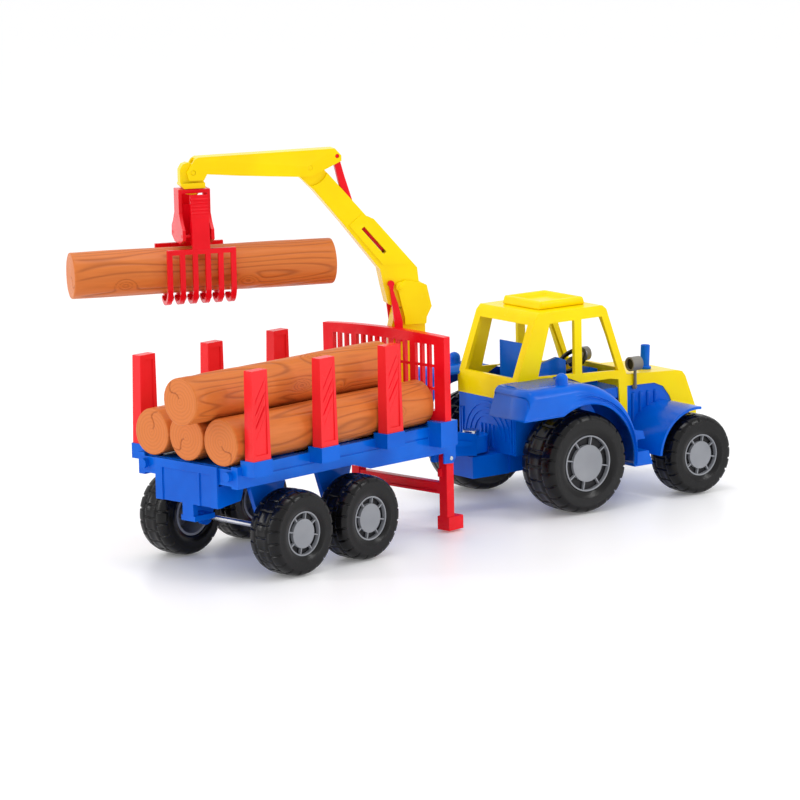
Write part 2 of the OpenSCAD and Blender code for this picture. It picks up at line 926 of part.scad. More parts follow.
module claw_near() {
    color(red)
        crane()
            claw(6, 0);
}

module claw_far() {
    color(red)
        crane()
            mirror([0, 1, 0])
                claw(5, 6);
}

// ---------------------------------------------------------------- tractor

// upright ribs on both sides of the engine
module engine_ribs() {
    for (k = [0 : 4])
        both() {
            translate([162 + k * 9.4, hood_half, 62])
                cylinder(r = 2.2, h = 33);
            translate([162 + k * 9.4, hood_half, 95])
                sphere(r = 2.2);
        }
}

// the line of the steering column, from the wheel down
module on_stem() {
    translate([wheel_x, 0, wheel_z])
        rotate([0, stem_tilt, 0])
            children();
}

module chassis() {
    fx = front_axle;
    color(blue)
        tractor()
            difference() {
                union() {
                    // drawbar and lower frame
                    block([-14, -20, 33], [30, 20, 54]);
                    block([30, -22, 34], [fx + 22, 22, 62]);
                    // rear body between the big wheels
                    block([30, -body_half, 56], [100, body_half, body_top]);
                    block([100, -30, 60], [152, 30, 100]);
                    // floor under the cab
                    block([90, -body_half, 96], [152, body_half, body_top]);
                    // dashboard with the steering column's bearing
                    slab(20)
                        polygon([[132, body_top], [149, body_top], [149, 120], [140, 122], [132, 114]]);
                    // engine block
                    slab(hood_half * 2)
                        polygon([[152, 44], [152, 105], [198, 103.6], [209, 99], [217, 89],
                            [224, 74], [229, 66], [250, 62], [246, 50], [228, 46], [214, 80], [186, 80],
                            [176, 44]]);
                    slab(hood_half * 2 - 8)
                        polygon([[160, 46], [160, 90], [214, 90], [222, 74], [228, 65], [243, 61],
                            [243, 52], [238, 46]]);
                    engine_ribs();
                }
                bar_y(rear_axle, big_r, axle_r + run, -60, 60);
                bar_y(fx, small_r, axle_r + run, -60, 60);
                // hitch pin hole
                translate([0, 0, 30])
                    cylinder(r = 5, h = 40);
                // bearing of the steering column
                on_stem()
                    translate([0, 0, -stem_drop - gap])
                        cylinder(r = stem_r + run, h = 40);
            }
}

// back wall with nested arches and upright ribs
module rear_panel() {
    color(blue)
        tractor() {
            block([20, -body_half, 54], [30, body_half, body_top]);
            // nested arches
            for (k = [0 : 2])
                translate([20, 0, 66 + k])
                    rotate([90, 0, -90])
                        linear_extrude(height = 1)
                            intersection() {
                                difference() {
                                    circle(r = 36 - k * 7);
                                    circle(r = 33.6 - k * 7);
                                }
                                translate([-50, 0])
                                    square([100, 60]);
                            }
            // upright ribs
            for (y = [-42.6, -39, 37, 40.6])
                block([18.6, y, 56], [20, y + 2, 92]);
            for (k = [0 : 3])
                block([18.6, -10 + k * 6, 58], [20, -8 + k * 6, 80]);
        }
}

module hood() {
    // the nose is set out from the front axle
    nose = front_axle;
    color(yellow)
        tractor()
            difference() {
                slab(hood_half * 2 + 2)
                    polygon([[152, 105], [152, 117], [228, 112.6], [nose + 28, 111], [nose + 32, 106],
                        [nose + 43, 78], [nose + 45, 72], [nose + 46, 62], [nose + 44, 62], [nose + 23, 66],
                        [nose + 18, 74], [nose + 11, 89], [nose + 3, 99], [nose - 8, 103.6]]);
                // radiator slots in the nose
                for (k = [0 : 3])
                    translate([nose + 40 - k * 2.6, -24, 76 + k * 7])
                        rotate([0, 21, 0])
                            cube([4, 48, 3]);
            }
}

module cab() {
    h = cab_half;
    s = roof_z - 189;
    color(yellow)
        tractor()
            difference() {
                slab(h * 2)
                    polygon([[20, body_top], [20, 122], [44, 184 + s], [49, roof_z], [127, roof_z], [132, 185 + s],
                        [154, 124], [157, 116], [157, 66], [149, 66], [146, 114], [136, 116],
                        [100, 116], [76, 126], [66, 126], [48, 118], [36, body_top]]);
                // inside
                slab(h * 2 - 8)
                    polygon([[24, 100], [24, 121], [47, 179 + s], [126, 179 + s], [150, 122], [152, 117],
                        [160, 117], [160, 60], [140, 60], [140, 100]]);
                // side windows
                slab(h * 2 + 10)
                    polygon([[47, 128], [62, 178 + s], [92, 178 + s], [92, 126]]);
                slab(h * 2 + 10)
                    polygon([[101, 125], [101, 178 + s], [126, 178 + s], [146, 123]]);
                // rear window
                translate([0, -h + 9, 0])
                    block([10, 0, 128], [80, h * 2 - 18, 178 + s]);
                // windscreen
                translate([0, -h + 6, 0])
                    block([110, 0, 125], [170, h * 2 - 12, 178 + s]);
                // foot well between the door posts
                block([130, -h + 8, 60], [170, h - 8, 117]);
                // the lower part fits round the body and the hood
                block([30, -body_half, 90], [152, body_half, body_top]);
                block([152, -hood_half - 1, 60], [170, hood_half + 1, 117]);
            }
}

module roof_hatch() {
    color(yellow)
        tractor()
            difference() {
                union() {
                    translate([0, 0, roof_z])
                        slab(58)
                            polygon([[62, 0], [120, 0], [117, 8], [65, 8]]);
                }
                translate([0, 0, roof_z + 4])
                    block([70, -24, 0], [112, 24, 10]);
            }
}

// rear mudguard: a wide arch with a raised lip and a square tail
module fender(side) {
    yi = body_half;
    yo = rear_track;
    mirror([0, side > 0 ? 0 : 1, 0])
        difference() {
            union() {
                slab_at(yi, yo)
                    difference() {
                        union() {
                            intersection() {
                                translate([rear_axle - 11, 52])
                                    circle(r = 74, $fn = 96);
                                translate([20, 40])
                                    square([140, 100]);
                            }
                            polygon([[-12, 98], [-2, 126], [54, 126], [54, 98]]);
                        }
                        translate([rear_axle, big_r])
                            circle(r = big_r + 8, $fn = 96);
                    }
                // raised lip
                slab_at(yo - 6, yo + 2)
                    intersection() {
                        difference() {
                            translate([rear_axle - 3, 50])
                                circle(r = 66, $fn = 96);
                            translate([rear_axle - 1, 49.5])
                                circle(r = 61.5, $fn = 96);
                        }
                        translate([rear_axle - 20, 44])
                            square([100, 90]);
                    }
                // knob on top
                translate([rear_axle - 20, 84, 122])
                    cylinder(r = 6, h = 9);
                translate([rear_axle - 20, 84, 131])
                    sphere(r = 6);
            }
            // hollow underside
            slab_at(yi + 4, yo - 3)
                difference() {
                    intersection() {
                        translate([rear_axle - 11, 52])
                            circle(r = 70.5, $fn = 96);
                        translate([0, 94])
                            square([180, 50]);
                    }
                    translate([-50, 122.5])
                        square([300, 20]);
                    translate([-50, 0])
                        square([58, 200]);
                }
            // slanted outer tail corner
            translate([-14, yo - 16, 90])
                rotate([0, 0, 32])
                    translate([-60, 0, 0])
                        cube([80, 40, 50]);
            // fits against the cab, the body behind it and the wheel's own space
            block([18, yi - 10, body_top], [160, cab_half, 140]);
            block([18, yi - 10, 50], [31, yi, body_top]);
        }
}

module fender_l() {
    color(blue)
        tractor()
            fender(1);
}

module fender_r() {
    color(blue)
        tractor()
            fender(-1);
}

// thin curved guards behind the front wheels
module front_guards() {
    fx = front_axle;
    color(blue)
        tractor()
            difference() {
                both()
                    slab_at(hood_half, 92)
                        difference() {
                            translate([fx, small_r])
                                circle(r = small_r + 7.6, $fn = 96);
                            translate([fx, small_r])
                                circle(r = small_r + 5, $fn = 96);
                            polygon([[fx, small_r], [fx + 14, small_r + 100], [fx + 100, small_r + 100],
                                [fx + 100, -80], [fx - 100, -80], [fx - 100, small_r + 4],
                                [fx - 30, small_r + 4]]);
                        }
                engine_ribs();
            }
}

module steps() {
    color(blue)
        tractor()
            both()
                difference() {
                    slab_at(22, 90)
                        polygon([[129, 36], [152, 36], [140, 70], [129, 72]]);
                    slab_at(34, 100)
                        polygon([[133, 50], [160, 50], [160, 62], [133, 62]]);
                    block([120, 20, 60], [160, body_half, 80]);
                }
}

module seat() {
    color(blue)
        tractor()
            difference() {
                union() {
                    block([56, -20, body_top], [98, 20, 122]);
                    slab(36)
                        polygon([[50, body_top], [64, body_top], [58, 155], [50, 157]]);
                    both()
                        slab_at(20, 25)
                            polygon([[54, body_top], [98, body_top], [98, 136], [88, 140], [60, 134]]);
                }
                block([66, -14, 118], [90, 14, 123]);
            }
}

module steering_wheel() {
    color(black)
        tractor()
            on_stem() {
                difference() {
                    cylinder(r = 17, h = 3.2);
                    translate([0, 0, -1])
                        cylinder(r = 14, h = 6);
                }
                for (a = [0, 120, 240])
                    rotate([0, 0, a])
                        translate([0, -1.6, 0.4])
                            cube([15.5, 3.2, 2]);
                translate([0, 0, -2])
                    cylinder(r = 5, h = 5);
                translate([0, 0, -stem_drop])
                    cylinder(r = stem_r, h = stem_drop);
            }
}

module exhaust() {
    slope = atan(4.4 / 76);
    ex = 204;
    color(blue)
        tractor()
            translate([ex, -16, 117 - (ex - 152) * 4.4 / 76])
                rotate([0, slope, 0])
                    difference() {
                        union() {
                            cylinder(r = 6.4, h = 3);
                            cylinder(r = 4.6, h = 24);
                        }
                        translate([0, 0, 16])
                            cylinder(r = 3.2, h = 20);
                    }
}

module lamps() {
    color(grey)
        tractor()
            both()
                translate([172, hood_half + 3, 0]) {
                    translate([-7, 0, 126])
                        rotate([0, 90, 0])
                            difference() {
                                cylinder(r = 7, h = 12);
                                translate([0, 0, -1])
                                    cylinder(r = 5.4, h = 3);
                                translate([0, 0, 10])
                                    cylinder(r = 5.8, h = 4);
                            }
                    translate([0, 0, 103])
                        cylinder(r = 1.5, h = 18);
                    translate([0, 0, 103])
                        sphere(r = 2);
                    rotate([90, 0, 0])
                        translate([0, 103, 0])
                            cylinder(r = 2.6, h = 2);
                }
}

module hitch_pin() {
    color(steel)
        tractor() {
            translate([0, 0, 34])
                cylinder(r = 5, h = 42);
            translate([0, 0, 72.6])
                cylinder(r = 8, h = 4);
        }
}

// ---------------------------------------------------------------- drawing

bed();
hangers();
bumper();
neck();
headboard();
crane_base();
stake_l1();
stake_l2();
stake_l3();
stake_r1();
stake_r2();
stake_r3();
leg_frame();
leg_pin();
axle_t1();
hubs_t1();
tyres_t1();
axle_t2();
hubs_t2();
tyres_t2();
log_1();
log_2();
log_3();
log_4();
column();
boom_pin();
boom();
lift_strut();
jib_pin();
jib();
jib_strut();
tip_pin();
tip_block();
grapple_body();
claw_pins();
claw_near();
claw_far();
log_held();
chassis();
rear_panel();
hood();
cab();
roof_hatch();
fender_l();
fender_r();
front_guards();
steps();
seat();
steering_wheel();
exhaust();
lamps();
hitch_pin();
axle_r();
hubs_r();
tyres_r();
axle_f();
hubs_f();
tyres_f();
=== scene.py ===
import json
import math

import bmesh
import bpy
import numpy as np
from mathutils import Matrix, Vector


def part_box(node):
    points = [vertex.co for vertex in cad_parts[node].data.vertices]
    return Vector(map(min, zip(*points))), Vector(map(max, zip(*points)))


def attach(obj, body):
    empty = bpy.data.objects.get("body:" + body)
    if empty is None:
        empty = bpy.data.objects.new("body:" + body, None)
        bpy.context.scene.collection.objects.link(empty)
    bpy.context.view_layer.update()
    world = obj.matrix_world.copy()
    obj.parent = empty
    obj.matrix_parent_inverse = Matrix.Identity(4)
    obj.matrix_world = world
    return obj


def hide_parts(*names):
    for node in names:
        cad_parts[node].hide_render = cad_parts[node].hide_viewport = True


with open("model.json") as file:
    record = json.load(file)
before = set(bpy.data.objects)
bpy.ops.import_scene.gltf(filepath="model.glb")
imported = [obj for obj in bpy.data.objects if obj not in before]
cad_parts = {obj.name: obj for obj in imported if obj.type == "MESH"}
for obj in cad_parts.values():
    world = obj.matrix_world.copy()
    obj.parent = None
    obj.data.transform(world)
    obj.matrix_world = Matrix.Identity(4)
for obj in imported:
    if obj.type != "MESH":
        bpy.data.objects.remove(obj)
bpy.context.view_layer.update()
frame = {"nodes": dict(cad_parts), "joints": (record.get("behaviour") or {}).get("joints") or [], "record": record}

node = frame["nodes"]
joint = {j["name"]: j for j in frame["joints"]}

# ---------------------------------------------------------------- studio
# A pale sweep of floor, a bright tent all round, one big soft source overhead and one on each
# side, and a long lens standing well back behind the trailer's near corner.
scene = bpy.context.scene
scene.view_settings.view_transform = "Standard"
hitch = Vector(joint["hitch"]["pos_m"])
cam_az, cam_el, cam_roll = math.radians(-46.38), math.radians(10.09), math.radians(-1.16)
target = Vector((hitch.x + 0.14407, hitch.y + 0.23076, 0.06))
camera_distance = 4.29874
back = Vector((math.sin(cam_az) * math.cos(cam_el), -math.cos(cam_az) * math.cos(cam_el),
               math.sin(cam_el)))
level = Vector((math.cos(cam_az), math.sin(cam_az), 0))
upright = back.cross(level)
cam_right = math.cos(cam_roll) * level + math.sin(cam_roll) * upright
cam_up = math.cos(cam_roll) * upright - math.sin(cam_roll) * level
cam_data = bpy.data.cameras.new("studio_camera")
cam_data.lens = 189
cam_data.sensor_width = 36
cam_data.clip_end = 50
camera = bpy.data.objects.new("studio_camera", cam_data)
scene.collection.objects.link(camera)
place = target + back * camera_distance
camera.matrix_world = Matrix((
    (cam_right.x, cam_up.x, back.x, place.x),
    (cam_right.y, cam_up.y, back.y, place.y),
    (cam_right.z, cam_up.z, back.z, place.z),
    (0, 0, 0, 1)))
scene.camera = camera

world = bpy.data.worlds.new("white_tent")
scene.world = world
world.use_nodes = True
tent = world.node_tree.nodes["Background"]
tent.inputs["Color"].default_value = (1, 1, 1, 1)
tent.inputs["Strength"].default_value = 0.93

def soft_light(name, at, aim, size, power):
    data = bpy.data.lights.new(name, "AREA")
    data.shape = "RECTANGLE"
    data.size, data.size_y = size
    data.energy = power
    lamp = bpy.data.objects.new(name, data)
    scene.collection.objects.link(lamp)
    lamp.location = at
    lamp.rotation_euler = (Vector(aim) - Vector(at)).to_track_quat("-Z", "Y").to_euler()

soft_light("overhead_softbox", (0, 0, 2.2), (0, 0, 0), (0.5, 1.2), 9)
middle_of_toy, strip = (0, 0, 0.15), (0.16, 1.5)
soft_light("left_softbox", Vector((0, 0, 0.9)) - level * 2.0 + back * 0.5, middle_of_toy, strip, 8)
soft_light("right_softbox", Vector((0, 0, 0.8)) + level * 2.0 + back * 0.6, middle_of_toy, strip, 7)

floor_mesh = bpy.data.meshes.new("floor")
far = 30
corners = [(-far, -far, 0), (far, -far, 0), (far, far, 0), (-far, far, 0)]
floor_mesh.from_pydata(corners, [], [(0, 1, 2, 3)])
floor = bpy.data.objects.new("floor", floor_mesh)
scene.collection.objects.link(floor)
floor_mat = bpy.data.materials.new("pale_floor")
floor_mat.use_nodes = True
sweep = floor_mat.node_tree.nodes["Principled BSDF"]
sweep.inputs["Base Color"].default_value = (0.93, 0.93, 0.945, 1)
sweep.inputs["Roughness"].default_value = 0.35
sweep.inputs["Emission Color"].default_value = (1, 1, 1, 1)
sweep.inputs["Emission Strength"].default_value = 0.12
floor.data.materials.append(floor_mat)

# ---------------------------------------------------------------- blue shells
# The trailer's bed, neck, bumper, hangers and crane base and the tractor's body, seat, steps,
# guards and exhaust are blue moulded plastic: an even colour with faint mottling, a fine skin,
# a few rubbed patches and handled edges. The mould rounds each outside edge.
def add(tree, kind, at=(0, 0), **values):
    made = tree.nodes.new(kind)
    made.location = at
    for key, value in values.items():
        setattr(made, key, value)
    return made

def wire(tree, a, b):
    tree.links.new(a, b)

def new_group(name, inputs, outputs):
    group = bpy.data.node_groups.new(name, "ShaderNodeTree")
    for label, kind, value in inputs:
        s = group.interface.new_socket(name=label, in_out="INPUT", socket_type=kind)
        if value is not None:
            s.default_value = value
    for label, kind in outputs:
        group.interface.new_socket(name=label, in_out="OUTPUT", socket_type=kind)
    return (group, add(group, "NodeGroupInput", (-900, 0)),
            add(group, "NodeGroupOutput", (900, 0)))

def moulded_skin_group():
    g, gin, gout = new_group("moulded_skin",
        [("Mottle Scale", "NodeSocketFloat", 22.0), ("Peel Scale", "NodeSocketFloat", 900.0),
         ("Scuff Scale", "NodeSocketFloat", 60.0)],
        [("Mottle", "NodeSocketFloat"), ("Edge", "NodeSocketFloat"), ("Scuff", "NodeSocketFloat"),
         ("Peel", "NodeSocketFloat")])
    coord = add(g, "ShaderNodeTexCoord", (-700, 200))
    mottle = add(g, "ShaderNodeTexNoise", (-400, 300))
    mottle.inputs["Detail"].default_value = 3
    wire(g, coord.outputs["Object"], mottle.inputs["Vector"])
    wire(g, gin.outputs["Mottle Scale"], mottle.inputs["Scale"])
    peel = add(g, "ShaderNodeTexNoise", (-400, 0))
    peel.inputs["Detail"].default_value = 1
    wire(g, coord.outputs["Object"], peel.inputs["Vector"])
    wire(g, gin.outputs["Peel Scale"], peel.inputs["Scale"])
    scuff = add(g, "ShaderNodeTexNoise", (-400, -300))
    scuff.inputs["Detail"].default_value = 8
    scuff.inputs["Roughness"].default_value = 0.7
    wire(g, coord.outputs["Object"], scuff.inputs["Vector"])
    wire(g, gin.outputs["Scuff Scale"], scuff.inputs["Scale"])
    scuff_cut = add(g, "ShaderNodeMapRange", (-100, -300))
    scuff_cut.inputs["From Min"].default_value = 0.55
    scuff_cut.inputs["From Max"].default_value = 0.75
    wire(g, scuff.outputs["Fac"], scuff_cut.inputs["Value"])
    geo = add(g, "ShaderNodeNewGeometry", (-400, -600))
    edge = add(g, "ShaderNodeMapRange", (-100, -600))
    edge.inputs["From Min"].default_value = 0.55
    edge.inputs["From Max"].default_value = 0.72
    wire(g, geo.outputs["Pointiness"], edge.inputs["Value"])
    wire(g, mottle.outputs["Fac"], gout.inputs["Mottle"])
    wire(g, edge.outputs["Result"], gout.inputs["Edge"])
    wire(g, scuff_cut.outputs["Result"], gout.inputs["Scuff"])
    wire(g, peel.outputs["Fac"], gout.inputs["Peel"])
    return g

moulded_skin = moulded_skin_group()

def moulded_plastic(name, deep, bright, edge_tint, gloss, peel=0.05, sheen=0.22):
    mat = bpy.data.materials.new(name)
    mat.use_nodes = True
    t = mat.node_tree
    shader = t.nodes["Principled BSDF"]
    skin = add(t, "ShaderNodeGroup", (-700, 0), node_tree=moulded_skin)
    tone = add(t, "ShaderNodeMapRange", (-480, 250))
    tone.inputs["From Min"].default_value = 0.35
    tone.inputs["From Max"].default_value = 0.65
    wire(t, skin.outputs["Mottle"], tone.inputs["Value"])
    body = add(t, "ShaderNodeMix", (-300, 250), data_type="RGBA")
    body.inputs[6].default_value = (*deep, 1)
    body.inputs[7].default_value = (*bright, 1)
    wire(t, tone.outputs["Result"], body.inputs[0])
    worn = add(t, "ShaderNodeMix", (-100, 250), data_type="RGBA")
    worn.inputs[7].default_value = (*edge_tint, 1)
    wear = add(t, "ShaderNodeMath", (-300, 50), operation="MULTIPLY")
    wear.inputs[1].default_value = 0.35
    wire(t, skin.outputs["Edge"], wear.inputs[0])
    wire(t, wear.outputs[0], worn.inputs[0])
    wire(t, body.outputs[2], worn.inputs[6])
    wire(t, worn.outputs[2], shader.inputs["Base Color"])
    rough = add(t, "ShaderNodeMapRange", (-300, -120))
    rough.inputs["To Min"].default_value = gloss
    rough.inputs["To Max"].default_value = gloss + 0.14
    wire(t, skin.outputs["Scuff"], rough.inputs["Value"])
    wire(t, rough.outputs["Result"], shader.inputs["Roughness"])
    bump = add(t, "ShaderNodeBump", (-300, -350))
    bump.inputs["Strength"].default_value = peel
    bump.inputs["Distance"].default_value = 0.0004
    wire(t, skin.outputs["Peel"], bump.inputs["Height"])
    wire(t, bump.outputs["Normal"], shader.inputs["Normal"])
    shader.inputs["Specular IOR Level"].default_value = sheen
    return mat

def soften(name, radius):
    piece = node[name]
    weld = piece.modifiers.new("weld", "WELD")
    weld.merge_threshold = 0.00001
    flat = piece.modifiers.new("whole_faces", "DECIMATE")
    flat.decimate_type = "DISSOLVE"
    flat.angle_limit = math.radians(0.6)
    bevel = piece.modifiers.new("mould_radius", "BEVEL")
    bevel.width = radius
    bevel.segments = 2
    bevel.limit_method = "ANGLE"
    bevel.angle_limit = math.radians(32)
    bevel.use_clamp_overlap = True
    piece.modifiers.new("face_normals", "WEIGHTED_NORMAL")
    faces = piece.data.polygons
    faces.foreach_set("use_smooth", [True] * len(faces))

def dress(name, material):
    piece = node[name]
    piece.data.materials.clear()
    piece.data.materials.append(material)

def mould(slot, material, edge_radius, usual=0.0006):
    for sub in frame["record"]["subparts"]:
        if sub["material_slot"] == slot:
            dress(sub["node"], material)
            if not sub["node"].startswith(("tyres_", "fender_")):
                soften(sub["node"], edge_radius.get(sub["node"], usual))

blue_shell = moulded_plastic("blue_shell", (0.0, 0.098, 0.58), (0.0, 0.130, 0.70),
                             (0.01, 0.22, 0.86), 0.17, sheen=0.16)
mould("blue_shell", blue_shell, {"exhaust": 0.0008, "chassis": 0.001, "bed": 0.0009, "neck": 0.001})

# ---------------------------------------------------------------- cab, hood and crane arm
# The cab frame, roof hatch, hood and the crane's post, boom, jib, tip and their pins are yellow
# plastic mouldings with soft round edges. The cab sits on the blue body; the arm turns on pins.
yellow_shell = moulded_plastic("yellow_shell", (0.97, 0.70, 0.0), (1.0, 0.77, 0.0),
                               (1.0, 0.84, 0.02), 0.22, sheen=0.14)
mould("yellow_shell", yellow_shell, {"cab": 0.0018, "hood": 0.0022, "roof_hatch": 0.002,
                                     "boom": 0.0012, "jib": 0.0014, "column": 0.001,
                                     "tip_block": 0.0012})

# ---------------------------------------------------------------- red fittings
# The stakes, front grille, folding stand, crane struts, grapple and claws are red plastic.
# The stakes stand in sockets in the bed; the stand, struts and claws hang on pins.
red_shell = moulded_plastic("red_shell", (0.80, 0.002, 0.010), (0.92, 0.006, 0.018),
                            (1.0, 0.06, 0.06), 0.2, sheen=0.18)
mould("red_shell", red_shell, {"leg_frame": 0.001, "headboard": 0.0006})

# ---------------------------------------------------------------- stake ribs
# Each red stake has a sunk panel on its outer face, with three slanting ribs moulded in it.
# They are one piece with the stake.
def grid_piece(name, grid, material, body, stands_for=(), closed_rows=True):
    rows, columns = grid.shape[:2]
    index = np.arange(rows * columns).reshape(rows, columns)
    row = index if closed_rows else index[:-1]
    below = np.roll(index, -1, 0) if closed_rows else index[1:]
    quads = np.stack([row, np.roll(row, -1, 1), np.roll(below, -1, 1), below], -1).reshape(-1, 4)
    mesh = bpy.data.meshes.new(name)
    mesh.from_pydata(grid.reshape(-1, 3).tolist(), [], quads.tolist())
    mesh.polygons.foreach_set("use_smooth", [True] * len(mesh.polygons))
    mesh.update()
    built = bmesh.new()
    built.from_mesh(mesh)
    bmesh.ops.recalc_face_normals(built, faces=built.faces)
    built.to_mesh(mesh)
    built.free()
    piece = bpy.data.objects.new(name, mesh)
    scene.collection.objects.link(piece)
    mesh.materials.append(material)
    if stands_for:
        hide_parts(*stands_for)
    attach(piece, body)
    return piece

def make_ribs(name):
    low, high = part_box(name)
    outside = 1 if (low.y + high.y) / 2 > hitch.y else -1
    face = high.y if outside > 0 else low.y
    left, right = low.x + 0.0038, high.x - 0.0038
    tall = high.z - low.z
    for k in range(3):
        base = low.z + tall * (0.42 + 0.13 * k)
        rise = (right - left) * 1.55
        lean = -0.0003 - 0.0016 * (base - low.z) / tall
        rows = []
        for t in np.linspace(0, 1, 12):
            x, z = left + (right - left) * t, base + rise * t
            end = min(1.0, 6 * t + 0.15, 6 * (1 - t) + 0.15)
            ring = []
            for a in np.linspace(0, 2 * math.pi, 12, endpoint=False):
                ring.append((x - 0.0005 * math.cos(a) * end,
                             face + outside * (lean - 0.0004 + 0.0009 * math.sin(a) * end),
                             z + 0.00045 * math.cos(a) * end))
            rows.append(ring)
        grid_piece(f"{name}_rib_{k + 1}", np.array(rows), red_shell, "trailer",
                   closed_rows=False)

for stake in ("stake_l1", "stake_l2", "stake_l3", "stake_r1", "stake_r2", "stake_r3"):
    make_ribs(stake)

# ---------------------------------------------------------------- steel
# The four axles, the hitch pin and the stand's pins are bright steel, cut to length and pushed
# in. Their ends are barely broken.
axle_steel = moulded_plastic("axle_steel", (0.45, 0.46, 0.48), (0.62, 0.63, 0.65), (0.8, 0.8, 0.8),
                             0.22)
axle_steel.node_tree.nodes["Principled BSDF"].inputs["Metallic"].default_value = 1.0
mould("axle_steel", axle_steel, {"axle_t1": 0.0004, "axle_t2": 0.0004, "axle_r": 0.0004,
                                 "axle_f": 0.0004})

# ---------------------------------------------------------------- tyres
# Eight black tyres in slightly glossy plastic, pushed over the hubs: a bulging wall, a round
# shoulder and four rows of shallow blocks, the outer rows half a pitch from the inner ones.
tyre_black = moulded_plastic("tyre_black", (0.0022, 0.0022, 0.0025), (0.0045, 0.0042, 0.005),
                             (0.012, 0.012, 0.013), 0.2, peel=0.12, sheen=0.24)
mould("tyre_black", tyre_black, {})

def axle_frame(joint_name):
    centre = np.array(joint[joint_name]["pos_m"])
    axis = np.array(joint[joint_name]["axis"], float)
    return centre, axis / np.linalg.norm(axis)

def along_and_out(co, centre, axis):
    offset = co - centre
    along = offset @ axis
    return along, np.linalg.norm(offset - along[:, None] * axis, axis=1)

def node_points(name):
    mesh = node[name].data
    co = np.zeros(len(mesh.vertices) * 3)
    mesh.vertices.foreach_get("co", co)
    return co.reshape(-1, 3)

def smooth_step(value, start, end):
    t = np.clip((value - start) / (end - start), 0, 1)
    return t * t * (3 - 2 * t)

def make_tyres(node_name, joint_name, body, blocks, block_depth):
    centre, axis = axle_frame(joint_name)
    along, out = along_and_out(node_points(node_name), centre, axis)
    outer, bead = out.max(), out.min()
    for side, label in ((1, "left"), (-1, "right")):
        own = along * side > 0
        near, far = np.abs(along[own]).min(), np.abs(along[own]).max()
        half, middle = (far - near) / 2, side * (far + near) / 2
        waist = bead + 0.42 * (outer - bead)
        turn = np.linspace(math.pi / 2, -math.pi / 2, 61)
        across = half * np.sign(np.sin(turn)) * np.abs(np.sin(turn)) ** 0.6
        radius = waist + (outer - waist) * np.abs(np.cos(turn)) ** 0.42
        wall = np.array([(0.88, 0.0), (0.905, 0.03), (0.94, 0.10), (0.975, 0.21), (0.995, 0.32)])
        wall_w, wall_r = half * wall[:, 0], bead + wall[:, 1] * (outer - bead)
        w = np.concatenate([wall_w, across, -wall_w[::-1]])
        r = np.concatenate([wall_r, radius, wall_r[::-1]])
        angle = np.linspace(0, 2 * math.pi, 540, endpoint=False)
        aa, ww = np.meshgrid(angle, w)
        rr = np.repeat(r[:, None], len(angle), 1)
        lane = np.abs(ww) / half
        shift = np.where(lane > 0.42, 0.5, 0.0) + 0.18 * np.minimum(lane, 1)
        cell = (aa * blocks / (2 * math.pi) + shift) % 1.0
        from_cut = np.minimum(cell, 1 - cell)
        cross_cut = 1 - smooth_step(from_cut, 0.045, 0.10)
        ring_cut = 1 - smooth_step(np.abs(lane - 0.42), 0.02, 0.05)
        ring_cut = np.maximum(ring_cut, 1 - smooth_step(lane, 0.02, 0.045))
        on_tread = smooth_step(rr, bead + 0.66 * (outer - bead), bead + 0.86 * (outer - bead))
        cut = np.maximum(cross_cut, 0.55 * ring_cut) * on_tread
        rr = rr - block_depth * cut
        ww = ww - np.sign(ww) * 0.0007 * cut * smooth_step(lane, 0.8, 1.0)
        # a raised ring on each wall
        from_ring = (rr - bead - 0.58 * (outer - bead)) / 0.0009
        wall_ring = np.exp(-from_ring ** 2) * (np.abs(ww) > 0.6 * half)
        ww = ww - np.sign(ww) * 0.00035 * wall_ring
        side_v = np.cross(axis, (0, 0, 1))
        side_v = side_v / np.linalg.norm(side_v)
        top_v = np.cross(side_v, axis)
        grid = (centre + (middle + ww)[..., None] * axis
                + (rr * np.cos(aa))[..., None] * side_v + (rr * np.sin(aa))[..., None] * top_v)
        grid_piece(node_name + "_" + label, grid, tyre_black, body, (node_name,))

make_tyres("tyres_t1", "axle_rear_spin", "wheels_t1", 20, 0.0014)
make_tyres("tyres_t2", "axle_front_spin", "wheels_t2", 20, 0.0014)
make_tyres("tyres_r", "big_wheels_spin", "wheels_r", 22, 0.0017)
make_tyres("tyres_f", "small_wheels_spin", "wheels_f", 20, 0.0014)

# ---------------------------------------------------------------- hubs
# Grey plastic hubs, one in each tyre, pressed on the axle: a thin rim, spokes and a flat disc.
# The pockets between the spokes are deep, and their floors get a near-black material as painted shade.
hub_grey = moulded_plastic("hub_grey", (0.24, 0.25, 0.275), (0.30, 0.31, 0.335),
                           (0.45, 0.45, 0.47), 0.36)
mould("hub_grey", hub_grey, {})
# Near-black material laid on the hub pocket floors and the lamp cups as painted shade.
painted_shade_black = moulded_plastic("painted_shade_black", (0.006, 0.006, 0.008), (0.016, 0.016, 0.02),
                              (0.03, 0.03, 0.03), 0.4)

def paint(name, material, wanted):
    mesh = node[name].data
    mesh.materials.append(material)
    at = len(mesh.materials) - 1
    centres = np.zeros(len(mesh.polygons) * 3)
    normals = np.zeros(len(mesh.polygons) * 3)
    mesh.polygons.foreach_get("center", centres)
    mesh.polygons.foreach_get("normal", normals)
    chosen = wanted(centres.reshape(-1, 3), normals.reshape(-1, 3))
    for i in np.nonzero(chosen)[0]:
        mesh.polygons[int(i)].material_index = at

